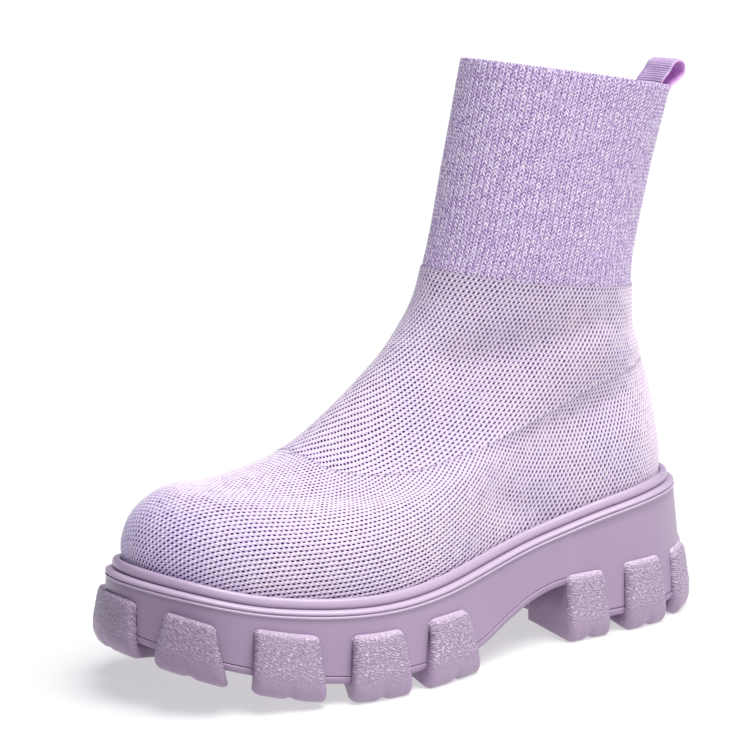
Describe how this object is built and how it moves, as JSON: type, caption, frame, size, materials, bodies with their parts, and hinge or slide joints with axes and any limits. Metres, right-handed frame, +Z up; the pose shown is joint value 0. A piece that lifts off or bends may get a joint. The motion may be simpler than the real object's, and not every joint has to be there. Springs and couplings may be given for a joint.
{
  "type": "knit sock ankle boot",
  "caption": "Left knit sock ankle boot with a ribbed cuff and heel pull loop, on a thick platform sole with chunky tread lugs; it slips on and stands empty on its sole.",
  "frame": {"origin": "on the floor, under the middle of the boot's box", "axes": "+Y from toe to heel, +X to the outer side of the foot, +Z up"},
  "size_m": [0.1196, 0.2778, 0.2362],
  "materials": {
    "knit": "matte knit",
    "platform": "smooth satin",
    "tread": "grained matte",
    "footbed": "matte",
    "webbing": "ribbed tape"
  },
  "bodies": {
    "root": {"upper": "knit", "midsole": "platform", "outsole": "tread", "insole": "footbed", "pull_loop": "webbing"}
  },
  "joints": []
}
